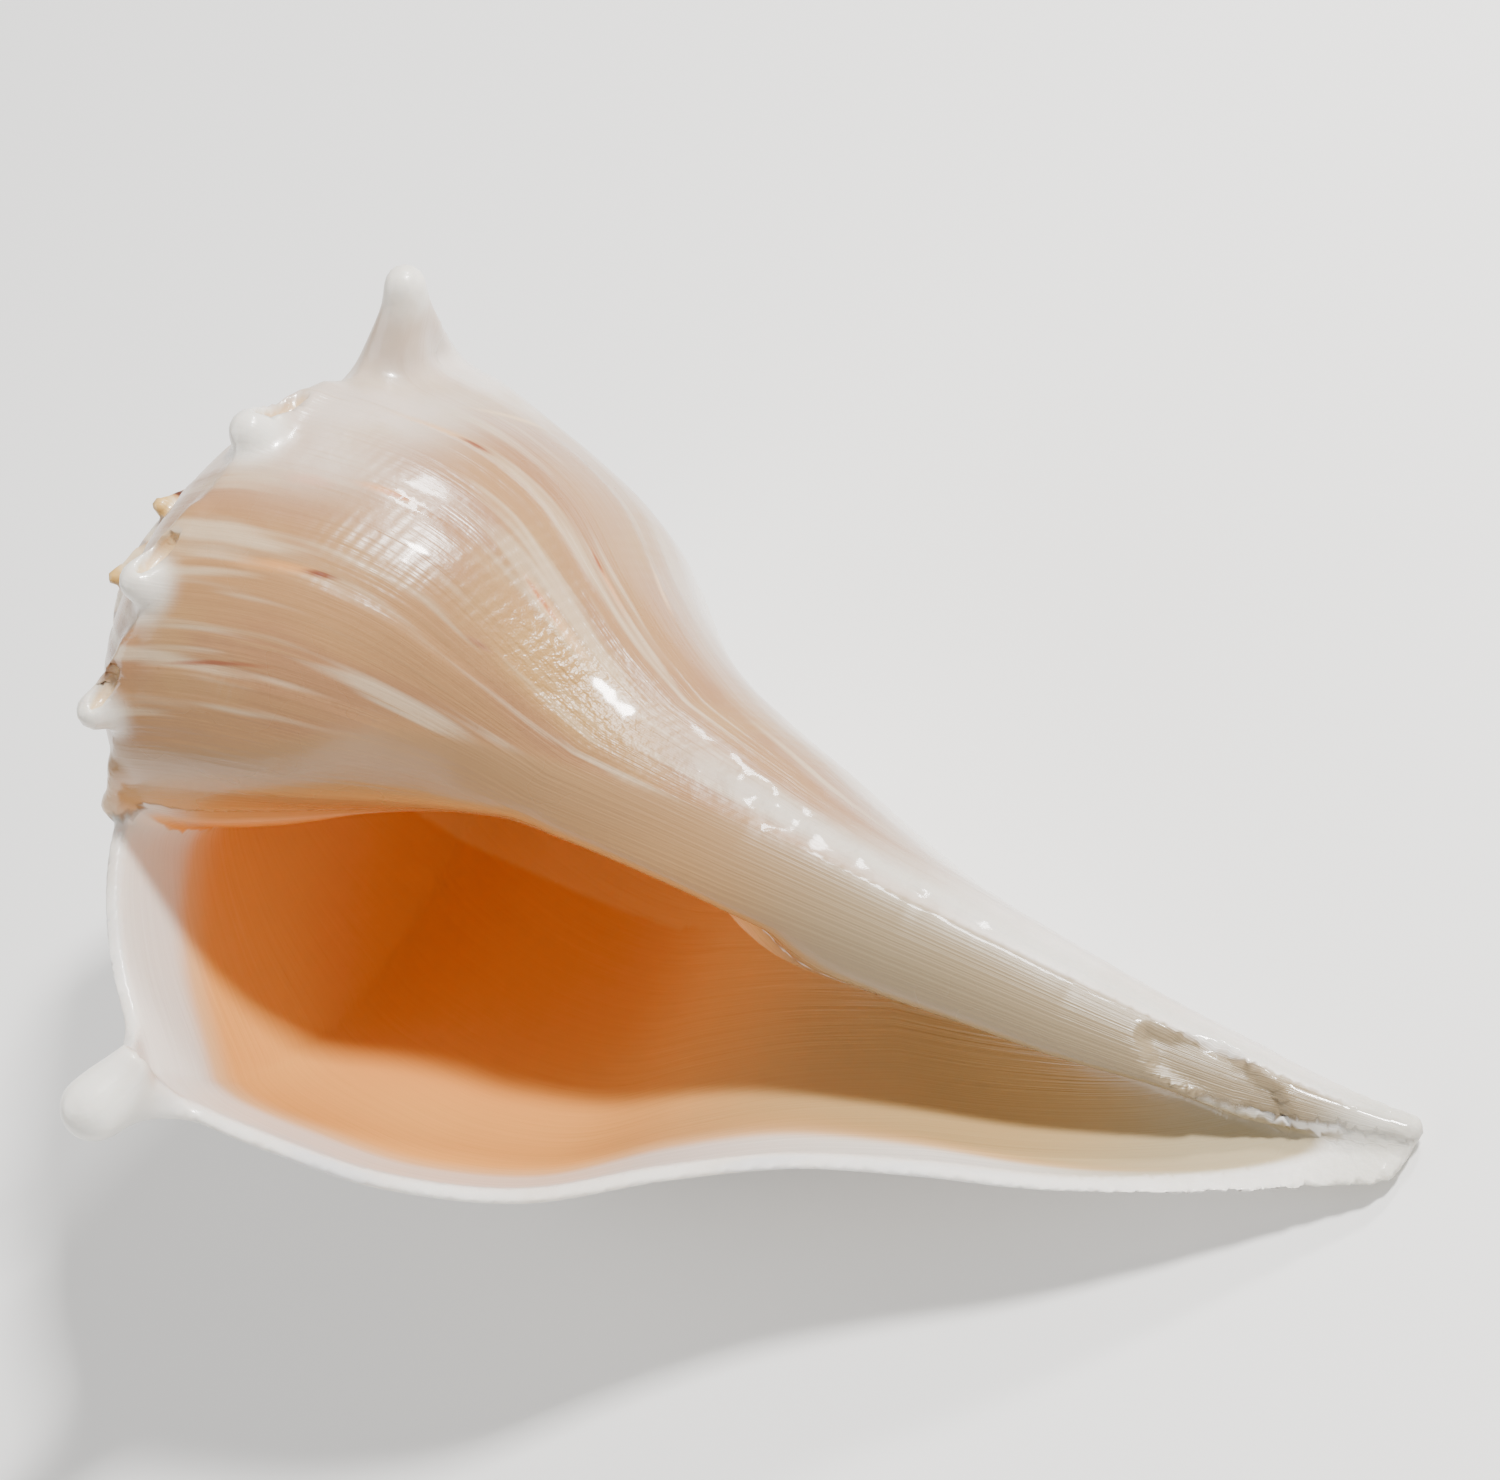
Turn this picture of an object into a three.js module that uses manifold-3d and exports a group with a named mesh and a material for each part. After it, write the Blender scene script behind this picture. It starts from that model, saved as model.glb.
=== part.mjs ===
// Left-handed whelk shell lying on its back with the aperture up, in millimetres.
// The shell is a logarithmic helico-spiral: one outline, drawn in a half-plane through the coiling
// axis, turns about that axis and grows by WHORL_GROWTH in each turn. Its inner outline cuts the chamber.
import * as THREE from "three";
import { mergeVertices } from "three/addons/utils/BufferGeometryUtils.js";
import Module from "manifold-3d";

const wasm = await Module();
wasm.setup();

const TURN = 2 * Math.PI;
const rad = THREE.MathUtils.degToRad;

// Driving dimensions. Radius is from the coiling axis and depth runs from the apex towards the canal tip.
const WHORL_GROWTH = 2.07; // size ratio from one whorl to the next
const CANAL_END = 177; // depth of the canal tip below the point that the coil winds out from
const TURNS = 3.6; // whorls from the apex to the lip
const AXIS_GAP = 0.5; // the outline stays this far off the axis, where the columella fills in
const LIP_ANGLE = rad(540); // growth angle of the outer lip
const LIP_FLARE = 2.2; // how far the lip turns out
const LIP_FLARE_REACH = 7.5; // over this distance from its edge
const LIP_RISE = 2.8; // how far the lip's upper end climbs the whorl before it
const LIP_RISE_REACH = rad(18);
const CANAL_BEND = { start: 135, length: 45, reach: 3.2 }; // the end of the canal bends from the lip
const APEX_WORN = { depth: 2.8, reach: 11 }; // the first whorls are flatter than the coil by this much
const CHAMBER_TURNS = 1.25; // how far the open chamber winds in from the lip
const OUTER_STEP = rad(7.5); // facet size along the coil
const CHAMBER_STEP = rad(9);
const CHAMBER_OVERRUN = rad(3); // the cut runs on past the lip
const WELD = 0.02; // corners of the cut nearer than this become one
const SEGMENT = rad(340); // a swept segment stops short of meeting itself

// [radius, depth] along the outer wall at the lip: the ramp from suture to shoulder, then the body to the tip.
const RAMP = [[25.5, 23.4], [34, 26.3], [45, 34.5], [55, 46]];
const BODY = [
  [55, 46], [55.5, 52], [54.2, 62], [52, 76], [46.5, 91], [37, 104], [29.5, 116], [24, 129], [19.5, 143],
  [13.2, 157], [8.4, 169], [5, 174], [1, CANAL_END],
];
// [radius, depth] round the chamber at the lip: under the ramp and down the wall, then back up the columella.
const CHAMBER_WALL = [
  [33.5, 31], [44, 38], [51.5, 47], [52.2, 54], [51.2, 63], [48.8, 76], [43.4, 90], [34.2, 102], [27, 114],
  [21.6, 127], [16.2, 141], [10.4, 155], [5.4, 167], [2.6, 174],
];
const CHAMBER_COLUMELLA = [
  [2.6, 174], [3.2, 164], [5, 150], [6.8, 135], [8.2, 120], [9.2, 105], [10.2, 90], [11.6, 76], [14.5, 65],
  [20, 55], [25.5, 46], [28, 38], [33.5, 31],
];
// [depth, radius, lean] of the columella, a tapered pillar along the axis that leans towards the lip.
const COLUMELLA = [
  [2.5, 1, 0], [20, 3, 0], [50, 9, 0], [75, 12, 0.5], [95, 11, 1], [115, 9, 1.5], [135, 7, 1.5], [155, 4.8, 1.2],
  [168, 3, 0.8], [CANAL_END - 0.8, 1.6, 0.2],
];
const NUCLEUS = { radius: 2.6, depth: 3.4 }; // the smooth first whorls, worn round
// [growth angle in degrees, outward push, apexward lift] of each shoulder knob at the lip's size.
const KNOBS = [
  [219, 5.4, 2.6], [249, 5, 2], [288, 6, 1.5], [318, 20.6, -4], [384, 11.8, -4.2], [414, 10.2, -4.4],
  [444, 9.4, -1.4], [471, 7.4, -0.6], [537, 9.6, 1.6],
];
const SPIRE_KNOB = { spacing: 37, push: 4.4, lift: 3 }; // the regular nodules of the older whorls
const KNOB_WIDTH = rad(8); // half width along the coil
const KNOB_REACH = 9; // half width across the shoulder

// The shell rests on two knobs of its back and on the canal tip: this direction of the coiling frame,
// whose Z runs from the canal tip to the apex, is then straight up.
const REST_UP = new THREE.Vector3(-0.09378, -0.93309, 0.34721);

const sizeAt = (angle) => WHORL_GROWTH ** ((angle - LIP_ANGLE) / TURN);
const bell = (distance, width) => Math.exp(-((distance / width) ** 2));
const SHOULDER = RAMP.at(-1);

// How far out and how far apexward the shoulder is drawn at a growth angle, at the lip's size.
function knobAt(angle) {
  const sum = { push: 0, lift: 0 };
  const addKnob = (degrees, push, lift) => {
    const share = bell(angle - rad(degrees), KNOB_WIDTH);
    sum.push += push * share;
    sum.lift += lift * share;
  };
  for (const knob of KNOBS) addKnob(...knob);
  const { spacing, push, lift } = SPIRE_KNOB;
  for (let older = KNOBS[0][0] - spacing; older > -TURNS * 360; older -= spacing) addKnob(older, push, lift);
  return sum;
}

// A point of the outer wall at a growth angle, with its knobs and the flare and rise of the lip.
function outerPoint([radius, depth], angle) {
  const near = bell(Math.hypot(radius - SHOULDER[0], depth - SHOULDER[1]), KNOB_REACH);
  const { push, lift } = knobAt(angle);
  return flared([radius + push * near, depth - lift * near], angle);
}

// A point of the wall with the flare and rise of the lip.
function flared([radius, depth], angle) {
  const toLip = LIP_ANGLE - angle;
  const flare = LIP_FLARE * Math.exp((-Math.abs(toLip) * radius) / LIP_FLARE_REACH);
  const level = Math.min(1, Math.max(0, (62 - depth) / 25));
  const rise = LIP_RISE * level * Math.exp(-Math.abs(toLip) / LIP_RISE_REACH);
  return place([radius + (radius > 2 ? flare : 0), depth - rise], angle);
}

// A point of the chamber's surface: its wall follows the lip, its inner side does not.
function chamberPoint([radius, depth, side], angle) {
  return side === "wall" ? flared([radius, depth], angle) : place([radius, depth], angle);
}

// A point of the shell from its radius and depth at the lip's size, at a growth angle.
function place([radius, depth], angle) {
  const size = sizeAt(angle);
  return new THREE.Vector3(
    size * radius * Math.cos(angle),
    size * radius * Math.sin(angle),
    -size * depth,
  );
}

// Evenly spaced points on a smooth curve through the given ones.
function smooth(points, count) {
  const curve = new THREE.SplineCurve(points.map((p) => new THREE.Vector2(...p)));
  return curve.getSpacedPoints(count).map((p) => [p.x, p.y]);
}

// A closed geometry as a solid, with vertices nearer than the tolerance made one.
function solidFrom(geometry, tolerance = 1e-4) {
  const bare = geometry.clone();
  bare.deleteAttribute("normal");
  bare.deleteAttribute("uv");
  const merged = mergeVertices(bare, tolerance);
  const triVerts = [];
  for (let i = 0; i < merged.index.count; i += 3) {
    const [a, b, c] = [0, 1, 2].map((k) => merged.index.getX(i + k));
    if (a !== b && b !== c && c !== a) triVerts.push(a, b, c);
  }
  return new wasm.Manifold(
    new wasm.Mesh({
      numProp: 3,
      vertProperties: new Float32Array(merged.attributes.position.array),
      triVerts: new Uint32Array(triVerts),
    }),
  );
}

function geometryFrom(solid) {
  const mesh = solid.getMesh();
  const geometry = new THREE.BufferGeometry();
  geometry.setAttribute("position", new THREE.BufferAttribute(new Float32Array(mesh.vertProperties), 3));
  geometry.setIndex(new THREE.BufferAttribute(new Uint32Array(mesh.triVerts), 1));
  return geometry;
}

// A closed loft through rings of equal length, with flat ends.
function loft(rings) {
  const count = rings[0].length;
  const index = [];
  for (let i = 0; i + 1 < rings.length; i++)
    for (let j = 0; j < count; j++) {
      const a = i * count + j;
      const b = i * count + ((j + 1) % count);
      index.push(a, b, a + count, b, b + count, a + count);
    }
  const last = (rings.length - 1) * count;
  for (const [a, b, c] of capOf(rings[0])) index.push(a, c, b);
  for (const [a, b, c] of capOf(rings.at(-1))) index.push(last + a, last + b, last + c);
  const geometry = new THREE.BufferGeometry().setFromPoints(rings.flat());
  geometry.setIndex(index);
  return geometry;
}

// The triangles that fill a flat ring, as places in the ring.
function capOf(ring) {
  const normal = new THREE.Vector3();
  ring.forEach((p, i) => normal.add(new THREE.Vector3().crossVectors(p, ring[(i + 1) % ring.length])));
  normal.normalize();
  const u = ring[1].clone().sub(ring[0]).projectOnPlane(normal).normalize();
  const v = new THREE.Vector3().crossVectors(normal, u);
  const flat = ring.map((p) => new THREE.Vector2(p.dot(u), p.dot(v)));
  return THREE.ShapeUtils.triangulateShape(flat, []);
}

// The solid that a closed outline sweeps from one growth angle to another, joined from segments.
function sweep(outline, pointAt, from, to, step) {
  const steps = Math.ceil((to - from) / step);
  const rings = [];
  for (let k = 0; k <= steps; k++) {
    const angle = from + ((to - from) * k) / steps;
    rings.push(outline.map((p) => pointAt(p, angle)));
  }
  const longest = Math.floor(SEGMENT / step);
  let made;
  for (let start = 0; start < steps; start += longest) {
    const piece = solidFrom(loft(rings.slice(start, start + longest + 1)));
    made = made ? made.add(piece) : piece;
  }
  return made;
}

function outerOutline() {
  const ramp = smooth(RAMP, 6);
  const body = smooth(BODY, 20).slice(1);
  return [...ramp, ...body, [AXIS_GAP, CANAL_END - 2], [AXIS_GAP, 24]];
}

function chamberOutline() {
  const wall = smooth(CHAMBER_WALL, 18).map((p) => [...p, "wall"]);
  const columellaSide = smooth(CHAMBER_COLUMELLA, 14).slice(1, -1);
  return [...wall, ...columellaSide];
}

// The columella: circles about points that lean towards the lip.
function columella() {
  const rings = COLUMELLA.map(([depth, radius, lean]) => {
    const ring = [];
    for (let i = 0; i < 14; i++) {
      const turn = (-TURN * i) / 14;
      ring.push(new THREE.Vector3(radius * Math.cos(turn) - lean, radius * Math.sin(turn), -depth));
    }
    return ring;
  });
  return solidFrom(loft(rings));
}

// The rounded tip of the spire.
function nucleus() {
  const ball = new THREE.SphereGeometry(NUCLEUS.radius, 12, 8);
  return solidFrom(ball.translate(0, 0, -NUCLEUS.depth));
}

// The shell without slivers that the joins leave behind.
function largest(solid) {
  return solid.decompose().reduce((a, b) => (b.volume() > a.volume() ? b : a));
}

// The bend of the canal's end and the wear of the apex, worked into every corner of the shell.
function shapeEnds(geometry) {
  const at = geometry.attributes.position;
  for (let i = 0; i < at.count; i++) {
    const depth = -at.getZ(i);
    const along = Math.min(1, Math.max(0, (depth - CANAL_BEND.start) / CANAL_BEND.length));
    at.setX(i, at.getX(i) + CANAL_BEND.reach * along ** 2);
    at.setZ(i, -depth - APEX_WORN.depth * Math.exp(-depth / APEX_WORN.reach));
  }
  return geometry;
}

// The turn from the coiling frame to the resting one, with the canal towards +X.
function restTurn() {
  const up = REST_UP.clone().normalize();
  const across = new THREE.Vector3().crossVectors(up, new THREE.Vector3(0, 0, -1)).normalize();
  const along = new THREE.Vector3().crossVectors(across, up);
  return new THREE.Matrix4().makeBasis(along, across, up).transpose();
}

const outer = sweep(outerOutline(), outerPoint, LIP_ANGLE - TURNS * TURN, LIP_ANGLE, OUTER_STEP);
const chamber = sweep(
  chamberOutline(), chamberPoint, LIP_ANGLE - CHAMBER_TURNS * TURN, LIP_ANGLE + CHAMBER_OVERRUN, CHAMBER_STEP,
);
const cut = largest(outer.add(columella()).add(nucleus()).subtract(chamber));
const shell = largest(solidFrom(geometryFrom(cut), WELD));

const geometry = shapeEnds(geometryFrom(shell)).applyMatrix4(restTurn());
geometry.computeBoundingBox();
const box = geometry.boundingBox;
geometry.translate(-(box.min.x + box.max.x) / 2, -(box.min.y + box.max.y) / 2, -box.min.z);

const mesh = new THREE.Mesh(geometry, new THREE.MeshStandardMaterial({ color: 0xe8d8c4, roughness: 0.4 }));
mesh.name = "shell";
const group = new THREE.Group();
group.name = "whelk_shell";
group.add(mesh);
export default group;
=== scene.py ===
import bpy
import numpy as np
from mathutils import Matrix, Vector


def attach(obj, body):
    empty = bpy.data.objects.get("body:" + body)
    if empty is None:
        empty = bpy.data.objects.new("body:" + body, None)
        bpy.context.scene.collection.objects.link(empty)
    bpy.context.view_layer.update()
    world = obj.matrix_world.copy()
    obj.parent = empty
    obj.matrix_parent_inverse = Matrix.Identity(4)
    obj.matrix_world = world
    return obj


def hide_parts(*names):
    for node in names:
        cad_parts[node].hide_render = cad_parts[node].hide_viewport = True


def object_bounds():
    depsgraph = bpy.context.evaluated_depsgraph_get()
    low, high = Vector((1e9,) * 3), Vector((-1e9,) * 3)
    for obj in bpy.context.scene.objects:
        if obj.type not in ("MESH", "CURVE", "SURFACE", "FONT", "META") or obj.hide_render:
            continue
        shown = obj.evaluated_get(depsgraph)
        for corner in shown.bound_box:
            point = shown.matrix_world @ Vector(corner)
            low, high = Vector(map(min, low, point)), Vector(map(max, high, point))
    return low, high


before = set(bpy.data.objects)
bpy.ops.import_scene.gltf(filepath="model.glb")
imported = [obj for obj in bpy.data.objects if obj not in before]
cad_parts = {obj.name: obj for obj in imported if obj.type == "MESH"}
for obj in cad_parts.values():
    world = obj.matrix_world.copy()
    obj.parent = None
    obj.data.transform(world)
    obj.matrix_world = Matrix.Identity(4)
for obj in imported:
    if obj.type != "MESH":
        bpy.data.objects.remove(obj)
cad_low, cad_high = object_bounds()

MM = 0.001
TURN = 2 * np.pi
NOWHERE = 1e3  # a distance beyond everything, in millimetres

# ---------------------------------------------------------------- the shell's growth, in millimetres
# The coiling frame has the apex at its origin and its Z axis from the canal tip to the apex. Growth angle
# runs from the oldest whorl to the lip. Outlines are (radius, depth from the apex) at the lip's size: RAMP
# from the suture to the shoulder, BODY from there to the canal's tip, PILLAR down the chamber's inner side.
WHORL_GROWTH = 2.07
GROWTH_RATE = np.log(WHORL_GROWTH) / TURN
LIP_ANGLE = np.radians(540)
OLDEST_WHORL, LAST_WHORL = -3, 1
RAMP = [(10, 23), (25.5, 23.4), (34, 26.3), (45, 34.5), (55, 46)]
BODY = [(55.5, 52), (54.2, 62), (52, 76), (46.5, 91), (37, 104), (29.5, 116), (24, 129), (19, 143),
        (12.8, 157), (6.9, 168), (3.4, 173), (.6, 175.6)]
PILLAR = [(26.6, 15), (26.6, 24), (25.2, 31), (22.5, 38), (19.6, 43.5), (15.6, 50), (12.2, 56), (9.4, 62),
          (7.4, 69), (6.6, 76), (6.4, 84), (6.8, 92), (7.2, 97), (9, 101.5), (9.7, 106), (9, 114.5),
          (8.3, 120), (7.1, 131), (5.2, 142), (5, 152), (4.8, 158), (3.2, 164.4), (2.6, 170), (.5, 176),
          (.5, 190)]
SHOULDER = np.array(RAMP[-1], float)
WALL, LIP_WALL, CANAL_WALL = 2.8, 2.1, 2.8  # thickness: of the whorl, of the lip, and of the lip at the canal
CANAL_WALL_DEPTHS = (145, 170)  # the lip thickens between these
INNER_WALL = 2.2  # between the open chamber and the one before it
LIP_REACH = 7.5  # the flare and the thinning fade over this distance from the lip's edge
LIP_FLARE, FLARE_DEPTHS = 2.2, (10, 46)  # how far the lip turns out, and where that starts and is full
LIP_RISE, RISE_REACH = 2.8, np.radians(18)  # how far the lip's upper end climbs the whorl before it
RISE_DEPTHS = (62, 37)  # the climb starts at the first of these and is full at the second
CANAL_BEND_DEPTHS, CANAL_BEND = (135, 180), 3.2  # the canal's end bends from the lip by this much
CANAL_END, CANAL_FLOOR_END = 175.6, 172.5  # the canal is broken off at this depth, and its gutter closes
NOTCH_START, NOTCH_LENGTH = 172, 4  # the lip's edge draws back in a curve towards the canal's end
APEX_WORN, WORN_REACH = 3, 9  # the first whorls are flatter than the coil by this much
# each hollow: its direction in degrees, depth, how deep, and its spread in degrees and along the axis
HOLLOWS = [(175, 40, 1.5, 35, 14), (342, 37, -1.8, 14, 10), (14, 77, 1.5, 25, 14), (95, 72, .35, 25, 20)]
PARIETAL_SPREAD = np.radians(60)  # the inner side of the mouth runs out over this much beyond the lip
PARIETAL_COVER = 3  # and there it lies this far inside the older whorl and the columella
CHAMBER_START = np.radians(170)  # the open chamber winds in to this growth angle
COLUMELLA = [(10, 1, 0), (20, 3, 0), (50, 9, 0), (75, 12, .5), (95, 11, 1), (115, 9, 1.5), (135, 7, 1.5),
             (155, 4.4, 1), (168, 2.5, .4), (173.4, 1.8, 0)]  # depth, radius, lean towards the lip
NUCLEUS = (2.2, 5.8)  # radius and depth of the smooth first whorls
SUTURE_FILLET, OLD_SUTURE_FILLET = 1.2, 1
PILLAR_END, PILLAR_FILLET = 174, (.6, 6)  # the depth towards which its fillet narrows; the least and the most
CHAMBER_FILLET, CHAMBER_EDGE, LIP_EDGE, BROKEN_EDGE = 3, 1.2, 1.4, 2

# The resting attitude: which way of the coiling frame is up, and where the apex then lies.
REST_UP = np.array([-0.09378, -0.93309, 0.34721])
APEX_AT = np.array([-84.458, 11.333, 62.901])


def rest_turn():
    """The rotation from the coiling frame to the resting one."""
    up = REST_UP / np.linalg.norm(REST_UP)
    across = np.cross(up, (0, 0, -1))
    across /= np.linalg.norm(across)
    return np.array([np.cross(across, up), across, up])


TO_REST = rest_turn()


def size_at(angle):
    """How large the shell had grown at a growth angle, with 1 at the lip."""
    return np.exp(GROWTH_RATE * (angle - LIP_ANGLE))


def place(radius, depth, degrees):
    """The point at an outline's radius and depth, at a growth angle."""
    angle = np.radians(degrees)
    size = size_at(angle)
    return np.array([size * radius * np.cos(angle), size * radius * np.sin(angle), -size * depth])


# ---------------------------------------------------------------- outlines as distance tables
def ramp(start, end, value):
    """How far a value is from start to end, from 0 to 1."""
    return np.clip((value - start) / (end - start), 0, 1)


def smooth_step(start, end, value):
    t = ramp(start, end, value)
    return t * t * (3 - 2 * t)


def bell(distance, width):
    return np.exp(-(distance / width)**2)


def smooth_line(points, per_span=8):
    """A Catmull-Rom curve through the points."""
    p = np.array([points[0], *points, points[-1]], float)
    t = np.linspace(0, 1, per_span, endpoint=False)[:, None]
    line = []
    for a, b, c, d in zip(p, p[1:], p[2:], p[3:]):
        bow, twist = 2 * a - 5 * b + 4 * c - d, 3 * b - a - 3 * c + d
        line.append(.5 * (2 * b + (c - a) * t + bow * t**2 + twist * t**3))
    return np.vstack([*line, p[-1:]])


TABLE_STEP = 0.5
TABLE_LOW = np.array([-16.0, -12.0])  # the least radius and depth
TABLE_SHAPE = (200, 440)


def nearest_on(loop, points):
    """Signed distance from a closed loop, negative inside; the place on it; the outward normal's support."""
    best = np.full(len(points), np.inf)
    place_on, support = np.zeros(len(points)), np.zeros(len(points))
    inside = np.zeros(len(points), bool)
    area = np.sum(loop[:, 0] * np.roll(loop[:, 1], -1) - np.roll(loop[:, 0], -1) * loop[:, 1])
    for i, (p, q) in enumerate(zip(loop, np.roll(loop, -1, axis=0))):
        along = q - p
        length = max(np.linalg.norm(along), 1e-9)
        normal = np.array([along[1], -along[0]]) / length * np.sign(area)
        t = np.clip((points - p) @ along / length**2, 0, 1)
        gap = ((points - p - t[:, None] * along)**2).sum(1)
        closer = gap < best
        best[closer], place_on[closer], support[closer] = gap[closer], i + t[closer], normal @ p
        if p[1] != q[1]:
            crosses = (p[1] > points[:, 1]) != (q[1] > points[:, 1])
            inside ^= crosses & (points[:, 0] < p[0] + (points[:, 1] - p[1]) * along[0] / along[1])
    return np.where(inside, -1, 1) * np.sqrt(best), place_on, support


def distance_tables(loop):
    """Tables of distance, support and length along the outline, over radius and depth."""
    axes = [low + TABLE_STEP * np.arange(n) for low, n in zip(TABLE_LOW, TABLE_SHAPE)]
    r, d = np.meshgrid(*axes, indexing="ij")
    distance, place_on, support = nearest_on(loop, np.stack([r.ravel(), d.ravel()], 1))
    steps = np.linalg.norm(np.roll(loop, -1, axis=0) - loop, axis=1)
    length = np.interp(place_on, np.arange(len(loop) + 1), np.concatenate([[0], np.cumsum(steps)]))
    return [a.reshape(TABLE_SHAPE).astype(np.float32) for a in (distance, support, length)]


def look_up(table, r, d):
    """The table's value at each radius and depth, between its four nearest entries."""
    u = np.clip((r - TABLE_LOW[0]) / TABLE_STEP, 0, TABLE_SHAPE[0] - 1.001)
    v = np.clip((d - TABLE_LOW[1]) / TABLE_STEP, 0, TABLE_SHAPE[1] - 1.001)
    i, j = u.astype(np.int32), v.astype(np.int32)
    u, v = u - i, v - j
    flat, at = table.ravel(), i * TABLE_SHAPE[1] + j
    low = flat[at] * (1 - v) + flat[at + 1] * v
    high = flat[at + TABLE_SHAPE[1]] * (1 - v) + flat[at + TABLE_SHAPE[1] + 1] * v
    return low * (1 - u) + high * u


outer_line = np.vstack([smooth_line(RAMP), smooth_line([RAMP[-1], *BODY])[1:]])
BEHIND_AXIS = -14  # the outlines are closed at this radius, on the axis's far side
outer_tables, pillar_tables = (
    distance_tables(np.vstack([[(BEHIND_AXIS, line[0][1])], line, [(BEHIND_AXIS, line[-1][1])]]))
    for line in (outer_line, smooth_line(PILLAR)))


# ---------------------------------------------------------------- the shell as a signed distance
def merge(a, b, blend):
    """The union of two distances with a fillet."""
    h = np.maximum(blend - np.abs(a - b), 0) / blend
    return np.minimum(a, b) - h * h * blend / 4


def cut(a, b, blend):
    """What is left of a when b is taken out of it, with a rounded edge."""
    return -merge(-a, b, blend)


def round_cone(p, a, b, ra, rb):
    """Distance from a bar from a to b whose radius goes from ra to rb."""
    along = b - a
    t = np.clip((p - a) @ along / (along @ along), 0, 1)
    return np.linalg.norm(p - a - t[:, None] * along, axis=1) - (ra + (rb - ra) * t)


# growth angles in degrees of the foot, the tip and the front end; radius and depth of the tip at the lip's
# size; foot radius, tip radius; half width of the slit along the crest
KNOBS = [
    (219, 217, 234, 57, 43.4, 6, 3.3, 1.7), (251, 249, 266, 56, 44.3, 7, 3.3, 1.7),
    (290, 287, 306, 55.8, 44.9, 7, 3.3, 1.8), (328, 318, 352, 72.5, 50, 9, 2.9, 0),
    (386, 384, 404, 62, 50.2, 9, 3.4, 1.9), (414, 413, 431, 61, 50.4, 8.5, 3.4, 1.8),
    (445, 443, 463, 59.2, 47.4, 8, 3.4, 1.5), (473, 471, 490, 58.4, 46.6, 7.5, 3.6, 1.4),
    (537, 546, 549, 61.3, 44.4, 6, 3, 0),
]
# the regular nodules of the spire: how many, how far apart in degrees, and the last five values of a knob
SPIRE_KNOBS, SPIRE_KNOB_SPACING, SPIRE_KNOB = 9, 37, (56.8, 43, 5, 2.4, 0)
FOOT_SUNK = .8  # the foot is this share of its radius inside the shoulder
FOOT_DROP, FRONT_DROP, FRONT_SUNK = .5, .4, 1.6
FRONT_RADIUS, KNOB_FILLET = 2.4, 4  # at the lip's size, as are the next two
KNOB_NEAR = 34  # nothing further from a tip than this belongs to its knob
SLIT_EDGE = 1.2
LAST_WHORL_KNOBS, LIP_KNOB = 360, 530  # the growth angles from which a knob is the last whorl's, and the lip's
SLIT_LENGTH = .36  # half the slit's length, as a share of the crest's
SLIT_FROM_TIP, SLIT_OUT, SLIT_HEIGHT = .25, .7, 1.15  # shares of the tip's radius


def knob_frames():
    """Each knob's growth angle, size, foot, tip, front end, radii and slit, oldest first."""
    older = [(*(angle - SPIRE_KNOB_SPACING * n for angle in KNOBS[0][:3]), *SPIRE_KNOB)
             for n in range(SPIRE_KNOBS, 0, -1)]
    made = []
    for at, tip_at, front_at, radius, depth, foot, tip, slit in older + KNOBS:
        size = size_at(np.radians(at))
        base = place(SHOULDER[0] - foot * FOOT_SUNK, SHOULDER[1] + FOOT_DROP, at)
        top = place(radius, depth, tip_at)
        front = place(SHOULDER[0] - FRONT_SUNK, SHOULDER[1] + FRONT_DROP, front_at)
        made.append((at, size, base, top, front, foot * size, tip * size, slit * size))
    return made


KNOB_FRAMES = knob_frames()


def blob(p, centre, axes, reach):
    """Distance from an ellipsoid with the given unit axes and half lengths."""
    q = (p - centre) @ np.array(axes).T
    near = np.linalg.norm(q / reach, axis=1)
    return near * (near - 1) / np.maximum(np.linalg.norm(q / np.square(reach), axis=1), 1e-6)


def knobs_on(solid, p, first, last, scooped=None):
    """Adds the knobs between two growth angles, in degrees, to a distance; scooped gathers what slits take."""
    for at, size, base, top, front, foot, tip, slit in KNOB_FRAMES:
        if not first <= at < last:
            continue
        near = np.flatnonzero(((p - top)**2).sum(1) < (KNOB_NEAR * size)**2)
        q, body = p[near], solid[near]
        body = merge(body, round_cone(q, top, front, tip, FRONT_RADIUS * size), KNOB_FILLET * size)
        body = merge(body, round_cone(q, base, top, foot, tip), KNOB_FILLET * size)
        if slit:
            along = (front - top) / np.linalg.norm(front - top)
            out = base * (1, 1, 0) / np.linalg.norm(base[:2])
            out = out - along * (out @ along)
            out /= np.linalg.norm(out)
            half = np.linalg.norm(front - top) * SLIT_LENGTH
            centre = top + along * (half + tip * SLIT_FROM_TIP) + out * tip * SLIT_OUT
            whole = body
            hole = blob(q, centre, [along, out, np.cross(along, out)], [half, tip * SLIT_HEIGHT, slit])
            body = cut(body, hole, SLIT_EDGE * size)
            if scooped is not None:
                scooped[near] = np.maximum(scooped[near], body - whole)
        solid[near] = body
    return solid


WHORLS = range(OLDEST_WHORL, LAST_WHORL + 1)
FAR_BEHIND = 30  # what counts as the distance behind the lip on the axis's far side
# Limits to what can be a whorl's own wall. Past the lip the last one's shows only at its edge. The one before
# it ends with its canal, and no older one reaches beyond a radius and a depth, at its own size.
EDGE_ABOVE, EDGE_RADIUS, EDGE_ANGLE = -1.6, 38, -.5
CANAL_REACH, OLD_RADIUS, OLD_DEPTH = 175, 78, 205


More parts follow.
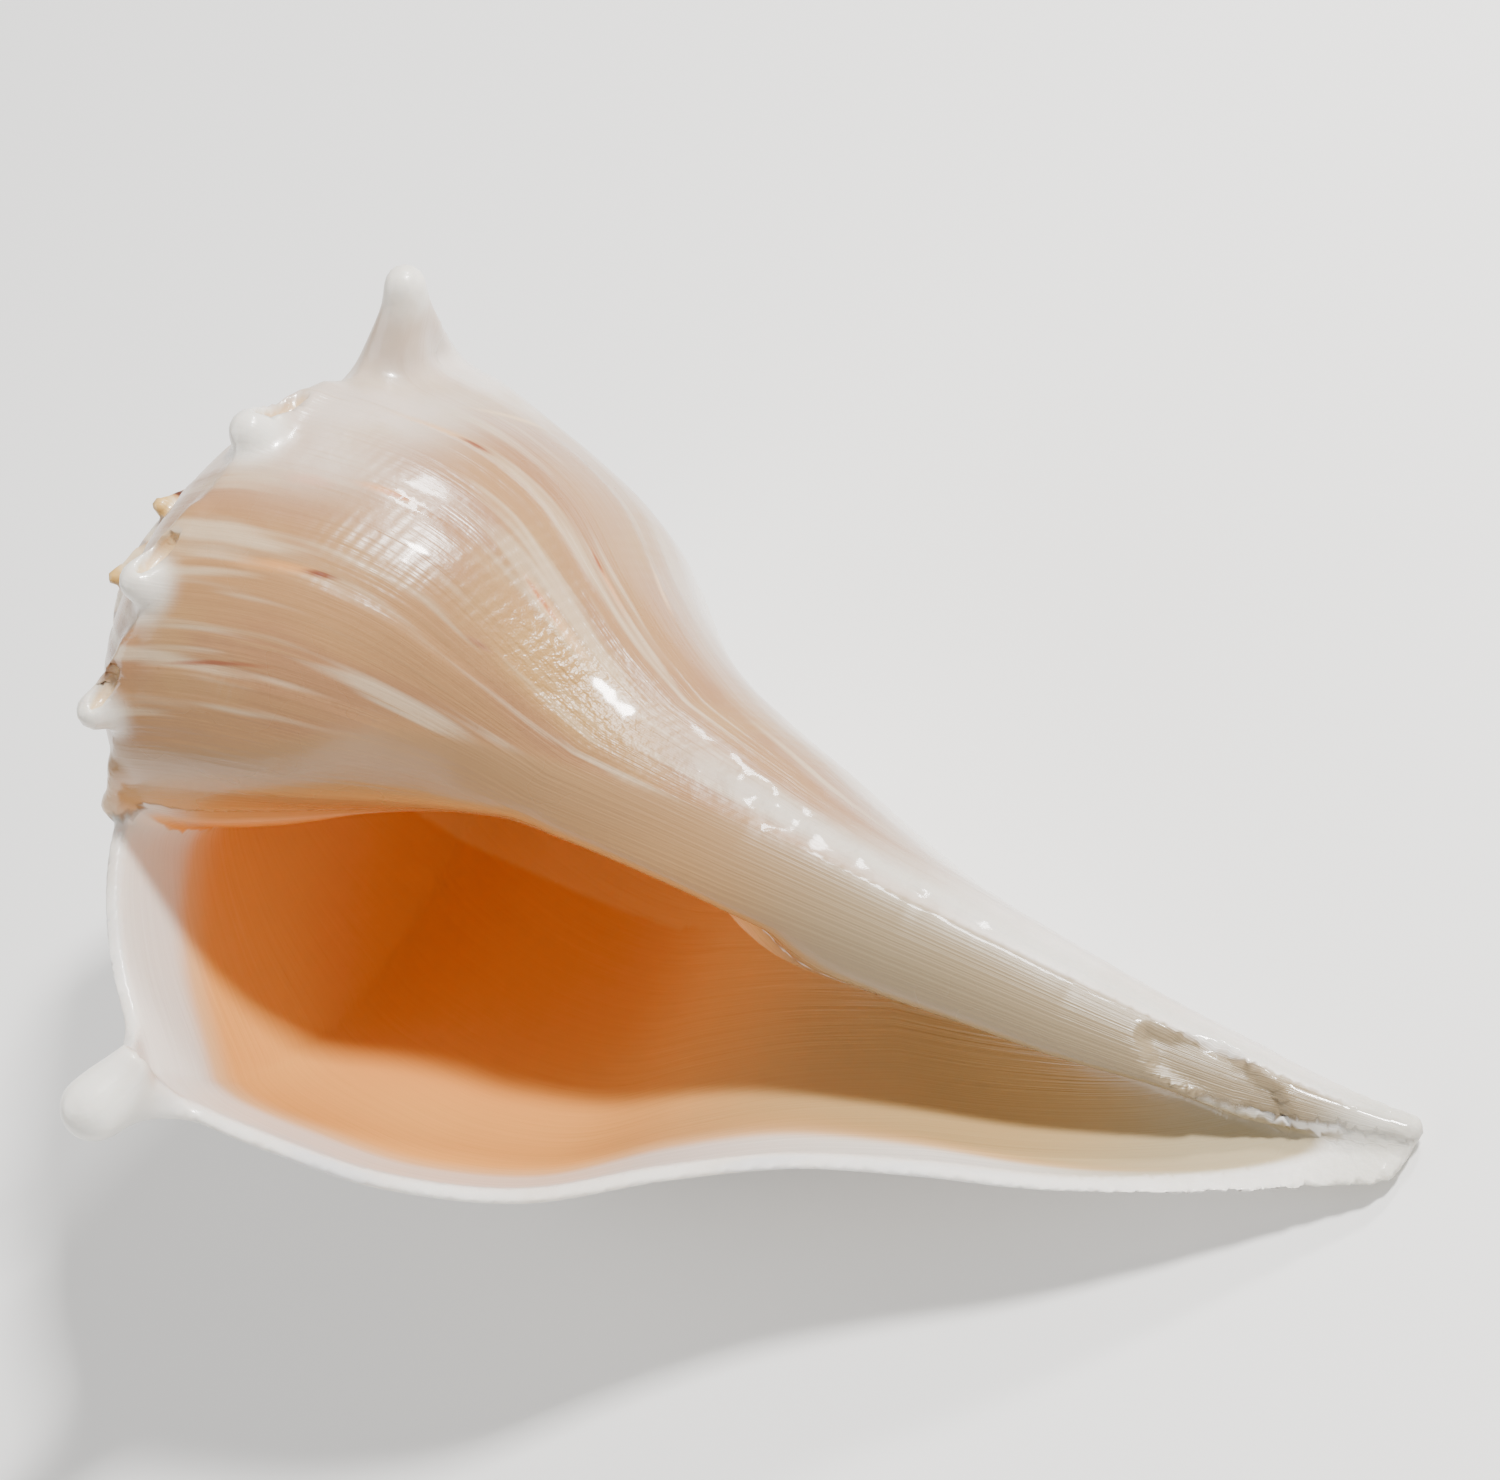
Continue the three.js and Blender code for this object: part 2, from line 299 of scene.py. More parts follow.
def nearest_whorl(angle, r, depth, y, gaps):
    """The number of the whorl whose outer wall is nearest, given the distances from all of them."""
    gaps = np.array(gaps)
    to_lip = np.pi - angle
    gaps[-1][(to_lip < 0) & (((y < EDGE_ABOVE) & (r < EDGE_RADIUS)) | (to_lip < EDGE_ANGLE))] = NOWHERE
    gaps[-2][(angle < np.pi) & (depth > CANAL_REACH * size_at(angle))] = NOWHERE
    for gap, whorl in zip(gaps[:-2], WHORLS):
        size = size_at(angle + TURN * whorl)
        gap[(r > OLD_RADIUS * size) | (depth > OLD_DEPTH * size)] = NOWHERE
    return gaps.argmin(0) + OLDEST_WHORL


def field(p, facts=None):
    """Signed distance from the shell in the coiling frame, negative in its wall.

    With a dict as facts, it also gathers where each point is on the shell, for its colours and growth marks.
    """
    p = p - CANAL_BEND * ramp(*CANAL_BEND_DEPTHS, -p[:, 2:])**2 * (1, 0, 0)
    x, y, z = p.T
    r, depth = np.hypot(x, y), -z
    depth = depth - APEX_WORN * np.exp(-np.maximum(depth - APEX_WORN, 0) / WORN_REACH)
    angle = np.arctan2(y, x) % TURN

    def whorl_of(tables, whorl, lower=0):
        """Distance from one whorl's outline, allowing for how fast the outline grows along the coil."""
        size = size_at(angle + TURN * whorl)
        flat, support = (look_up(t, r / size, (depth + lower) / size) for t in tables[:2])
        slant = GROWTH_RATE * support * size / np.maximum(r, .5)
        return size * flat / np.sqrt(1 + slant**2)

    hollow = np.zeros(len(p))
    for degrees, level, deep, spread, height in HOLLOWS:
        off = (angle - np.radians(degrees) + np.pi) % TURN - np.pi
        hollow += deep * bell(off, np.radians(spread)) * bell(depth - level, height)
    to_lip = np.pi - angle  # of the last whorl
    # 1 at the lip's edge, and less back along the whorl, the more so beyond the axis
    lip = np.exp(-np.where(angle < np.pi, np.maximum(y, 0) + 2 * np.maximum(x, 0), 0) / LIP_REACH)
    flare = LIP_FLARE * ramp(*FLARE_DEPTHS, depth)
    rise = LIP_RISE * np.exp(-np.maximum(to_lip, 0) / RISE_REACH) * ramp(*RISE_DEPTHS, depth)
    older = np.sqrt(x * x + y * y + (z + NUCLEUS[1])**2) - NUCLEUS[0]
    for whorl in range(OLDEST_WHORL, LAST_WHORL):
        wall = whorl_of(outer_tables, whorl) + (hollow if whorl == LAST_WHORL - 1 else 0)
        older = merge(older, wall, OLD_SUTURE_FILLET)
    scooped = np.zeros(len(p))
    older = knobs_on(older, p, -np.inf, LAST_WHORL_KNOBS, scooped)
    beyond = angle > 1.5 * np.pi  # a quarter turn past the lip, where nothing of the last whorl is left
    last = np.where(beyond, NOWHERE, whorl_of(outer_tables, LAST_WHORL, rise) - flare * lip + hollow)
    pillar = np.full(len(p), NOWHERE)
    for (d0, r0, lean0), (d1, r1, lean1) in zip(COLUMELLA, COLUMELLA[1:]):
        ends = np.array([[-lean0, 0, -d0], [-lean1, 0, -d1]])
        pillar = np.minimum(pillar, round_cone(p, *ends, r0, r1))
    past = smooth_step(0, PARIETAL_SPREAD, -to_lip)
    inner = [whorl_of(pillar_tables, 0), (whorl_of(pillar_tables, 1) + hollow) * (1 - past)
             + (np.minimum(wall, pillar) - PARIETAL_COVER) * past]
    thin = LIP_WALL + (CANAL_WALL - LIP_WALL) * ramp(*CANAL_WALL_DEPTHS, depth)
    chambers = [np.maximum.reduce([wall + WALL, (CHAMBER_START - angle) * r, inner[1] + INNER_WALL]),
                np.where(beyond, NOWHERE, last + WALL - (WALL - thin) * lip)]
    last = knobs_on(last, p, LAST_WHORL_KNOBS, LIP_KNOB, scooped)
    notch = np.square(np.clip((depth - NOTCH_START) / NOTCH_LENGTH, 0, 2))
    past_lip = np.where((x < 0) | (angle > np.pi), notch - y, -NOWHERE)
    last = cut(last, -past_lip, LIP_EDGE)
    last = knobs_on(last, p, LIP_KNOB, np.inf)
    # the columella's fillet narrows towards both of its ends
    fillet = np.clip(np.minimum((PILLAR_END - depth) / 3, depth / 4 - 1), *PILLAR_FILLET)
    solid = merge(merge(older, last, SUTURE_FILLET), pillar, fillet)
    if facts is not None:
        whorl = nearest_whorl(angle, r, depth, y, [whorl_of(outer_tables, w) for w in WHORLS])
        size = size_at(angle + TURN * whorl)
        facts.update(
            growth=np.degrees(angle + TURN * whorl), turn=np.degrees(angle), size=size,
            along=look_up(outer_tables[2], r / size, depth / size), depth=depth,
            behind=np.where(x < 0, y, FAR_BEHIND), under=-solid, scooped=scooped,
            core_side=np.abs(inner[1]) < np.abs(chambers[1]))
    chambers[1] = np.maximum(chambers[1], depth - CANAL_FLOOR_END)
    for chamber, core in zip(chambers, inner):
        solid = cut(solid, -merge(-chamber, core, CHAMBER_FILLET), CHAMBER_EDGE)
    return cut(solid, CANAL_END - depth, BROKEN_EDGE)


# ---------------------------------------------------------------- the surface of a distance field
def to_coil(p):
    return (p - APEX_AT) @ TO_REST


def sample_field(low, high, step):
    """The field's values on a grid of points over the box, in the resting frame."""
    counts = np.ceil((high - low) / step).astype(int) + 1
    axes = [low[i] + step * np.arange(counts[i]) for i in range(3)]
    values = np.empty(counts, np.float32)
    for i, x in enumerate(axes[0]):
        y, z = np.meshgrid(axes[1], axes[2], indexing="ij")
        p = np.stack([np.full(y.size, x), y.ravel(), z.ravel()], 1)
        values[i] = field(to_coil(p)).reshape(y.shape)
    return values


def surface_nets(values, low, step):
    """Vertices and quads of the zero surface: one vertex in each cell that it crosses."""
    inside = values < 0
    corners = list(np.ndindex(2, 2, 2))
    count = np.zeros(np.subtract(values.shape, 1), np.int8)
    for c in corners:
        count += inside[tuple(slice(i, n - 1 + i) for i, n in zip(c, values.shape))]
    cells = np.argwhere((count > 0) & (count < len(corners)))
    number = np.full(count.shape, -1, np.int32)
    number[tuple(cells.T)] = np.arange(len(cells))
    total, crossings = np.zeros((len(cells), 3)), np.zeros(len(cells))
    at = {c: values[tuple((cells + c).T)] for c in corners}
    for c in corners:
        for axis in range(3):
            if c[axis]:
                continue
            e = tuple(v + (i == axis) for i, v in enumerate(c))
            a, b = at[c], at[e]
            split = (a < 0) != (b < 0)
            t = np.where(split, a / np.where(split, a - b, 1), 0)
            spot = np.tile(np.array(c, float), (len(cells), 1))
            spot[:, axis] += t
            total += np.where(split[:, None], spot, 0)
            crossings += split
    vertices = low + step * (cells + total / crossings[:, None])
    quads = []
    for axis in range(3):
        u, v = [(1, 2), (2, 0), (0, 1)][axis]
        first = [slice(1, -1)] * 3
        first[axis] = slice(0, -1)
        second = list(first)
        second[axis] = slice(1, None)
        a, b = inside[tuple(first)], inside[tuple(second)]
        edges = np.argwhere(a != b)
        offset = np.ones(3, int)
        offset[axis] = 0
        cell = edges + offset
        ring = []
        for du, dv in ((0, 0), (1, 0), (1, 1), (0, 1)):
            step_back = np.zeros(3, int)
            step_back[u], step_back[v] = du, dv
            ring.append(number[tuple((cell - step_back).T)])
        ring = np.stack(ring, 1)
        outward = a[tuple(edges.T)]
        ring[~outward] = ring[~outward][:, ::-1]
        quads.append(ring)
    return vertices, np.vstack(quads)


PROBE = .15  # the slope is measured over this far to each side, in millimetres


def gradient(p):
    return np.stack([field(p + PROBE * e) - field(p - PROBE * e) for e in np.eye(3)], 1) / (2 * PROBE)


SETTLE_STEPS, LEAST_STEEP, LONGEST_MOVE = 2, .2, .5


def settle(p):
    """Moves points on to the zero surface and returns them with their outward normals."""
    for _ in range(SETTLE_STEPS):
        slope = gradient(p)
        steep = np.maximum((slope**2).sum(1), LEAST_STEEP)
        p = p - np.clip(field(p) / steep, -LONGEST_MOVE, LONGEST_MOVE)[:, None] * slope
    slope = gradient(p)
    return p, slope / np.maximum(np.linalg.norm(slope, axis=1), 1e-9)[:, None]


VOXEL, QUICK_VOXEL = .88, 1.5
MARGIN = 3  # of the grid round the CAD box
voxel = VOXEL
low = np.array(cad_low) / MM - MARGIN
high = np.array(cad_high) / MM + MARGIN
vertices, quads = surface_nets(sample_field(low, high, voxel), low, voxel)
coil_points, coil_normals = settle(to_coil(vertices))
vertices = coil_points @ TO_REST.T + APEX_AT
facts = {}
field(coil_points, facts)

# ---------------------------------------------------------------- growth marks and zones of colour
# Places on the surface: growth is the angle along the coil and turn the angle round its axis, both in degrees.
# In millimetres, along is measured down a growth line from the suture, depth from the apex, and behind from
# the lip's plane back into the whorl.
LINE_LEAN, LINE_MIDDLE = 0.0045, 125  # a growth line lags by this many degrees per square millimetre from here
LINE_BOWS = (-50, 45)  # and is straight beyond these
FOLDS = [(1.7, .18), (3.3, .3), (7.3, .5)]  # spacing of the growth folds in degrees, and their height
RIBS = (462, 10, 2.6, .9)  # the ribs before the great scar: middle and spread in degrees, spacing, height
FLAKE_START, FLAKE_END, FLAKE_WIDTH, FLAKE_DEEP = (-2, -6.2, -145.5), (-4, -2, -163.5), 3.6, 1.1
# a growth angle, the step down there, and the degrees over which the whorl fills out again
SCARS = [(240, .3, 6), (266, .35, 6), (291, .35, 6), (313, .4, 7), (338, .3, 6), (384, .3, 6), (420, .35, 7),
         (444, .4, 6), (472, 1.0, 9), (500, .5, 6)]
SCAR_EDGE = .8  # degrees


HEIGHTS, STRIDES = 1024, (1, 37, 523)  # the stock of random heights, and how far apart neighbours draw from it


def lumps(seed, *coordinates):
    """Smooth random heights from 0 to 1, one for each whole number of up to three coordinates."""
    q = np.zeros((len(coordinates[0]), 3))
    q[:, :len(coordinates)] = np.stack(coordinates, 1)
    heights = np.random.default_rng(seed).random(HEIGHTS)
    base = np.floor(q).astype(int)
    t = q - base
    t = t * t * (3 - 2 * t)
    return sum(np.where(corner, t, 1 - t).prod(1) * heights[(base + corner) @ STRIDES % HEIGHTS]
               for corner in np.ndindex(2, 2, 2))


growth, along, depth = facts["growth"], facts["along"], facts["depth"]
behind, turn, size = facts["behind"], facts["turn"], facts["size"]
# The ranges below are in degrees for growth and turn, and in millimetres for everything else.
last_whorl = growth > 361  # what belongs to the last whorl, and not to one before it
growth = growth + LINE_LEAN * np.clip(along - LINE_MIDDLE, *LINE_BOWS)**2
inside = smooth_step(.25, 1, facts["under"])  # the chamber and the gutter, by depth under the uncut shell
knob = np.zeros(len(growth))
for _, _, _, top, _, _, tip, _ in KNOB_FRAMES:
    knob = np.maximum(knob, bell(np.linalg.norm(coil_points - top, axis=1), 2.2 * tip))
fasciole = bell(turn - 284, 14) * smooth_step(72, 98, depth)  # the rough ridge that the canal's end leaves
narrow = 1 - .93 * smooth_step(78, 162, depth)  # the pale margin behind the lip narrows along the canal
core_side = facts["core_side"] | (behind < -1.5)  # the older whorl's wall, across the mouth from the lip
seam = np.where(core_side, smooth_step(-1, 8, behind), smooth_step(8, 20, behind / narrow))
# the callus, a glaze laid over the whorl beside the mouth: its edge in degrees at each depth
callus_edge = np.interp(depth, (25, 42, 56, 70, 98, 150, 170), (208, 221, 238, 248, 266, 268, 262))
callus = smooth_step(5, -3, turn - callus_edge) * smooth_step(176, 181, turn) * (growth > 170) * (growth < 300)
brim = facts["core_side"] * last_whorl * (turn > 90) * (turn < 186) * smooth_step(22, 34, depth)
callus = np.maximum(callus, brim)  # the callus laps over the brim of the mouth
blush_and_shade = smooth_step(392, 320, growth) * smooth_step(150, 205, growth)  # where the last whorl grew first; its peach-beige is partly the shell's own tone and partly painted shade
blush_and_shade *= 1 - .5 * smooth_step(118, 92, along) * smooth_step(270, 300, growth)  # less near the shoulder
blush_and_shade *= 1 - .8 * smooth_step(88, 135, depth)  # and little on the canal
near_mouth = smooth_step(-15, 3, behind) * smooth_step(262, 228, turn) * smooth_step(112, 90, depth)
chalk = np.maximum(.7 * fasciole, smooth_step(160, 173, depth))  # worn dull, on the ridge and the canal's tip
spire = smooth_step(205, 150, growth) * smooth_step(78, 60, depth)
plain = (1 - inside) * (1 - chalk) * (1 - spire) * (1 - callus)
glints = bell(growth - 287, 16) * bell(along - 158, 22) * plain  # a pitted patch that breaks up the highlight
zones = {
    "growth": growth, "along": along, "inside": inside, "knob": knob, "chalk": chalk, "spire": spire,
    "blush_and_shade": blush_and_shade,
    "blush_patch": .6 * blush_and_shade * plain,
    "warmth": near_mouth * np.maximum((growth < 300) * (turn > 178), brim),  # orange seen through the callus
    "callus": callus,
    "pale_callus": callus * smooth_step(78, 125, depth),
    "lip_glaze": inside * ~core_side,
    "orange": inside * seam,
    "far": smooth_step(24, 46, behind),  # well inside the mouth, where a darker orange is painted shade
    "canal": smooth_step(68, 122, depth),
    # painted shadow: the gutter turns grey-tan towards the canal's tip
    "tip_gutter_shade": inside * smooth_step(125, 165, depth),
    "scooped": smooth_step(.3, 1.5, facts["scooped"]),
    "flames": spire * (1 - inside) * smooth_step(.1, .5, lumps(12, growth / 19, along / 40)),
    "wander": 1.1 * lumps(13, growth / 30, along / 12) + along * .012,
    "glints": glints,
    # heights of the fine relief, in millimetres
    "corded": .02 * plain * smooth_step(92, 104, along),
    "lined": .025 * plain,
    "rugged": .02 + .5 * fasciole + .08 * plain + .1 * glints,
    "pitted": .14 * chalk + .02 * plain + .25 * glints,
}

step_down = 0
for at, deep, reach in SCARS:
    past = np.maximum(growth - at - SCAR_EDGE, 0)
    step_down += deep * ramp(at, at + SCAR_EDGE, growth) * np.exp(-past / reach)
step_down *= smooth_step(168, 130, along)
patches = .35 + .65 * lumps(3, growth / 14, along / 22)
folds = sum(high * lumps(i, growth / spacing, along / 70) for i, (spacing, high) in enumerate(FOLDS))
ribs_at, ribs_spread, rib_spacing, rib_height = RIBS
ribbed = bell(growth - ribs_at, ribs_spread) * smooth_step(150, 120, along)
folds += rib_height * lumps(8, growth / rib_spacing) * ribbed
ruggedness = fasciole * .5 * lumps(9, *(coil_points / 2.7).T)
# where the columella's outer layer has flaked off near the canal's tip
flake_half = np.subtract(FLAKE_END, FLAKE_START) / 2
away = coil_points - np.add(FLAKE_START, FLAKE_END) / 2
length = np.linalg.norm(flake_half)
lengthwise = away @ flake_half / length
sideways = np.sqrt(np.maximum((away**2).sum(1) - lengthwise**2, 0))
ragged = .35 * (lumps(14, *(coil_points / 2.2).T) - .5)
flaked = smooth_step(1.08, .88, np.hypot(lengthwise / length, sideways / FLAKE_WIDTH) + ragged)
ruggedness += flaked * (FLAKE_DEEP + .2 * lumps(15, *(coil_points / 1.8).T))
outside = (1 - smooth_step(.1, .6, facts["under"])) * (1 - callus) * (1 - .8 * knob) * (1 - .6 * chalk)
relief = (outside * np.minimum(size, 1) * (folds * patches + step_down) + ruggedness) * (1 - inside)
vertices = vertices - (relief[:, None] * coil_normals) @ TO_REST.T

mesh = bpy.data.meshes.new("shell_surface")
mesh.from_pydata((vertices * MM).tolist(), [], quads.tolist())
for name, values in zones.items():
    mesh.attributes.new(name, "FLOAT", "POINT").data.foreach_set("value", np.asarray(values, np.float32))
mesh.update()
mesh.shade_smooth()
shell = bpy.data.objects.new("shell_surface", mesh)
bpy.context.scene.collection.objects.link(shell)
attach(shell, "root")
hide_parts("shell")


# ---------------------------------------------------------------- materials
def colour(code):
    """A linear colour from an sRGB hex code."""
    parts = [int(code[i:i + 2], 16) / 255 for i in (1, 3, 5)]
    linear = (c / 12.92 if c <= .04045 else ((c + .055) / 1.055)**2.4 for c in parts)
    return (*linear, 1)


def put(tree, kind, inputs, output=0, **settings):
    """Adds a node with its settings, and links or values for its inputs; gives back one of its outputs."""
    node = tree.nodes.new(kind)
    for name, value in settings.items():
        setattr(node, name, value)
    for name, value in inputs.items():
        if isinstance(value, bpy.types.NodeSocket):
            tree.links.new(value, node.inputs[name])
        else:
            node.inputs[name].default_value = value
    return node.outputs[output] if node.outputs else None


# Aragonite, grown in thin layers: a hard, close surface with the soft gloss of porcelain, light going a
# little way in. Its folds and cords break up the highlights, and the glaze in the mouth is smoother still.
aragonite = bpy.data.materials.new("grown_aragonite")
aragonite.use_nodes = True
tree = aragonite.node_tree
tree.nodes.clear()
zone = {name: put(tree, "ShaderNodeAttribute", {}, 2, attribute_name=name) for name in zones}
spot = put(tree, "ShaderNodeVectorMath", {0: put(tree, "ShaderNodeTexCoord", {}, 3), "Scale": 1 / MM},
           operation="SCALE")  # millimetres
grown = put(tree, "ShaderNodeCombineXYZ", {0: zone["growth"], 1: zone["along"]})
# degrees of growth and millimetres along a growth line for each lump of the pattern, and its detail
DRAWN_OUT = {"hair": (.55, 26, 3), "thread": (1.7, 40, 3), "band": (6, 60, 2), "belt": (17, 45, 1)}
EVEN = {"cloud": (13, 3), "lump": (3.4, 2), "grit": (.9, 2)}  # millimetres for each lump, and its detail
grain = {}
for name, (across_line, down_line, detail) in DRAWN_OUT.items():
    stretched = put(tree, "ShaderNodeMapping", {0: grown, "Scale": (1 / across_line, 1 / down_line, 1)})
    grain[name] = put(tree, "ShaderNodeTexNoise", {"Vector": stretched, "Scale": 1, "Detail": detail})
for name, (spacing, detail) in EVEN.items():
    grain[name] = put(tree, "ShaderNodeTexNoise", {"Vector": spot, "Scale": 1 / spacing, "Detail": detail})

FLAME_SPACING = 17  # degrees from one brown flame of the spire to the next
wavy = put(tree, "ShaderNodeMath", {0: zone["growth"], 1: 1 / FLAME_SPACING, 2: zone["wander"]},
           operation="MULTIPLY_ADD")
flame = put(tree, "ShaderNodeMath", {0: wavy, 1: .5}, operation="PINGPONG")
# deep is painted shade: the orange darkened where the mouth goes far in
OVERLAPS = {"deep": ("orange", "far"), "gutter": ("orange", "canal"), "nodule": ("knob", "spire")}
overlap = {name: put(tree, "ShaderNodeMath", {0: zone[one], 1: zone[other]}, operation="MULTIPLY")
           for name, (one, other) in OVERLAPS.items()}

# Each layer: its colour, the pattern it follows, where that starts and is full, and the most of it that shows.
BODY_LAYERS = [
    ("#E6DCCF", grain["cloud"], .35, .75, 1),
    ("#D5D8DF", grain["band"], .5, .72, .6),
    # the body's peach-beige on that side: partly the shell's own tone, partly painted shade
    ("#A2774B", zone["blush_and_shade"], 0, 1, 1),
    ("#986A48", grain["belt"], .45, .66, zone["blush_patch"]),
    ("#A98350", grain["cloud"], .45, .7, zone["blush_patch"]),
    ("#D3BFA0", grain["band"], .52, .68, zone["blush_patch"]),
    ("#A37C50", grain["thread"], .56, .72, zone["blush_patch"]),
    ("#BF954E", zone["glints"], .1, .9, .45),
    ("#9C774D", zone["callus"], 0, 1, .9),
    ("#8F7E60", zone["pale_callus"], 0, 1, .9),
]
TOP_LAYERS = [
    ("#F1EFE6", zone["knob"], .1, .7, .8),
    ("#D9CB9C", zone["knob"], .7, 1, .7),
    ("#DCC6A2", zone["spire"], 0, 1, 1),
    ("#B98246", flame, .36, .1, zone["flames"]),
    ("#54260E", flame, .17, .08, zone["flames"]),
    ("#A98369", zone["growth"], -420, -640, .8),
    ("#CFA65A", overlap["nodule"], .1, .6, .9),
    ("#DCD8CC", zone["chalk"], .1, 1, .9),
    ("#DBA052", zone["warmth"], 0, 1, .6),
    ("#DDBA85", zone["scooped"], .1, 1, .7),
    ("#F2EBE2", zone["lip_glaze"], 0, 1, 1),
    ("#F3C28C", zone["orange"], 0, .5, 1),
    ("#F4AC58", zone["orange"], .4, 1, 1),
    # painted shade: the orange darkened well inside the mouth
    ("#EC923F", overlap["deep"], 0, 1, 1),
    ("#C0A06C", overlap["gutter"], 0, 1, 1),
    # painted shadow in the gutter near the canal's tip
    ("#AFA080", zone["tip_gutter_shade"], 0, 1, 1),
]
# the two ends in degrees of growth and millimetres along the line, half the width in degrees, and the colour
STREAKS = [
    ((313, 88), (315.4, 112), 2, "#DDA768"), ((314.6, 102), (315.4, 111.5), 1, "#7A3414"),
    ((290.4, 98), (292.4, 114), 1.8, "#D98B3A"), ((291, 104), (291.9, 111), .8, "#B0622A"),
    ((265.6, 88), (268.4, 113), 2.2, "#D9924A"), ((267.2, 103), (268.4, 112.5), 1.2, "#6E2A10"),
    ((240.2, 84), (244.8, 113), 1, "#8A4A2A"), ((273.6, 136), (276, 144.5), 1.4, "#8C5A48"),
    ((297.8, 130), (296.6, 160), 2.8, "#E3A768"), ((297.6, 133), (297, 148), 1.2, "#B96A30"),
    ((319.8, 132), (318, 152), 1.4, "#D08A4E"), ((319.6, 133.5), (319, 141), .8, "#8F4A22"),
    ((338.9, 133), (334.5, 152), 1.4, "#E3B988"), ((325, 95), (341.5, 108), 1.4, "#E0BE8E"),
    ((287.5, 86), (288.3, 100), 2.4, "#C99A80"), ((446.5, 143), (442.5, 84), 2, "#E8C9A0"),
]
STREAK_JITTER = 1.2  # how far the hair pattern moves a streak's edge, in degrees and in millimetres
WIDE = 1.3  # a streak wider than this is soft and faint, a narrower one dark with a firm edge
jitter = put(tree, "ShaderNodeVectorMath", {0: grain["hair"], 1: (STREAK_JITTER, STREAK_JITTER, 0), 2: grown},
             operation="MULTIPLY_ADD")
streak_layers = []
for start, end, half_width, code in STREAKS:
    run = np.subtract(end, start)
    middle = np.add(start, end) / 2 + STREAK_JITTER / 2
    around = put(tree, "ShaderNodeMapping", {
        "Vector": jitter, "Location": (*middle, 0), "Rotation": (0, 0, np.arctan2(-run[0], run[1])),
        "Scale": (half_width, np.hypot(*run) / 2, 1)}, vector_type="TEXTURE")
    gap = put(tree, "ShaderNodeVectorMath", {0: around}, 1, operation="LENGTH")
    streak_layers.append((code, gap, 1, 0, .6) if half_width > WIDE else (code, gap, 1, .15, .9))

surface = colour("#F2EEE8")
for code, pattern, begins, full, most in BODY_LAYERS + streak_layers + TOP_LAYERS:
    mask = put(tree, "ShaderNodeMapRange", {0: pattern, 1: begins, 2: full, 4: most},
               interpolation_type="SMOOTHSTEP")
    surface = put(tree, "ShaderNodeMix", {0: mask, 6: surface, 7: colour(code)}, 2, data_type="RGBA")

# the fine relief: each pattern with the height of it in millimetres
CORD_SPACING = 2.6  # the spiral cords, in millimetres at the lip's size
beat = put(tree, "ShaderNodeMath", {0: zone["along"], 1: TURN / CORD_SPACING, 2: grain["lump"]},
           operation="MULTIPLY_ADD")
cords = put(tree, "ShaderNodeMath", {0: beat}, operation="SINE")
corded = put(tree, "ShaderNodeMapRange", {0: grain["cloud"], 1: .42, 2: .62, 4: zone["corded"]},
             interpolation_type="SMOOTHSTEP")
height = 0
for pattern, high in ((grain["hair"], zone["lined"]), (grain["thread"], .1), (cords, corded),
                      (grain["lump"], zone["rugged"]), (grain["grit"], zone["pitted"])):
    height = put(tree, "ShaderNodeMath", {0: pattern, 1: high, 2: height}, operation="MULTIPLY_ADD")
bumps = put(tree, "ShaderNodeBump", {"Strength": 1, "Distance": MM, "Height": height})

dullness = put(tree, "ShaderNodeMapRange", {0: grain["cloud"], 1: .3, 2: .7, 3: .24, 4: .38})
for part, part_dullness in (("inside", .24), ("chalk", .7), ("spire", .4)):
    dullness = put(tree, "ShaderNodeMix", {0: zone[part], 2: dullness, 3: part_dullness})
shader = put(tree, "ShaderNodeBsdfPrincipled", {
    "Base Color": surface, "Roughness": dullness, "Normal": bumps, "IOR": 1.6,  # aragonite's is 1.53 to 1.69
    "Subsurface Weight": .08, "Subsurface Radius": (1, .6, .4), "Subsurface Scale": 1.5 * MM,
    "Coat Weight": .4, "Coat Roughness": .09})
put(tree, "ShaderNodeOutputMaterial", {"Surface": shader})
mesh.materials.append(aragonite)

# ---------------------------------------------------------------- floor, lights and camera
FLOOR_HALF = 2  # metres
floor_mesh = bpy.data.meshes.new("floor")
floor_mesh.from_pydata([(x * FLOOR_HALF, y * FLOOR_HALF, 0) for x, y in ((-1, -1), (1, -1), (1, 1), (-1, 1))],
                       [], [(0, 1, 2, 3)])
floor = bpy.data.objects.new("floor", floor_mesh)
bpy.context.scene.collection.objects.link(floor)
# Matt backdrop paper: an even pale sheet that takes soft shadows and lights the shell from below.
paper = bpy.data.materials.new("backdrop_paper")
paper.use_nodes = True
sheet = paper.node_tree.nodes["Principled BSDF"].inputs
sheet["Base Color"].default_value = (.94, .94, .935, 1)
sheet["Roughness"].default_value = .7
floor_mesh.materials.append(paper)

world = bpy.data.worlds.new("studio")
bpy.context.scene.world = world
world.use_nodes = True
sky = world.node_tree.nodes["Background"].inputs
sky["Color"].default_value = (1, .99, .975, 1)
sky["Strength"].default_value = .56

